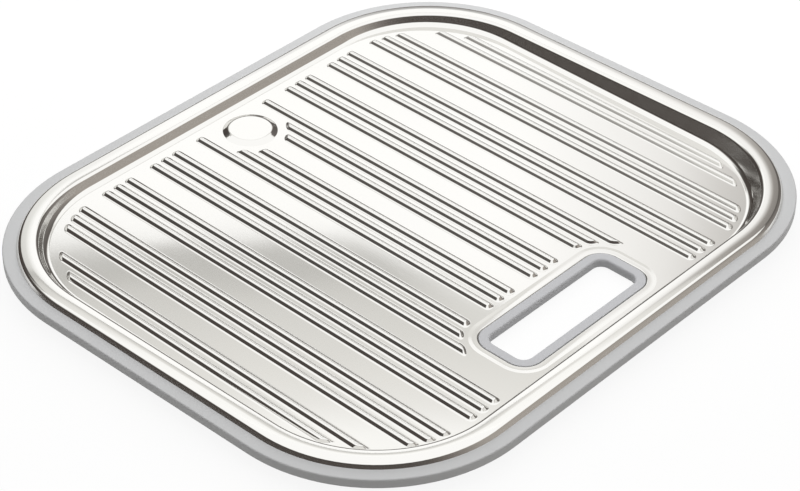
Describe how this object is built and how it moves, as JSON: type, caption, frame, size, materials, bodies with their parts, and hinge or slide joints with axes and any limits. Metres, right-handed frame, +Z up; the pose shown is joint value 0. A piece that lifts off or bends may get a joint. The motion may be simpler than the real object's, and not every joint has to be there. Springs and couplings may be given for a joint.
{
  "type": "sink drainer tray",
  "caption": "Rounded rectangular sink drainer tray: a ribbed pressed stainless plate that falls to a hand slot, held in a moulded grey plastic surround, with a flush grip in the slot.",
  "frame": {"origin": "middle of the plane that the surround's skirt stands on", "axes": "+X along the ribs towards the hand slot, +Y across the ribs along the longest side, +Z up"},
  "size_m": [0.375, 0.44, 0.0196],
  "materials": {
    "stainless_steel": "bright satin, pressed",
    "surround_plastic": "fine moulded texture, light grey",
    "grip_plastic": "fine moulded texture, light grey",
    "sealant": "matt"
  },
  "bodies": {
    "root": {"drainer_plate": "stainless_steel", "surround_frame": "surround_plastic", "rim_bond_bead": "sealant", "handle_bezel": "grip_plastic", "handle_seal": "sealant", "handle_under_ring": "grip_plastic"}
  },
  "joints": []
}
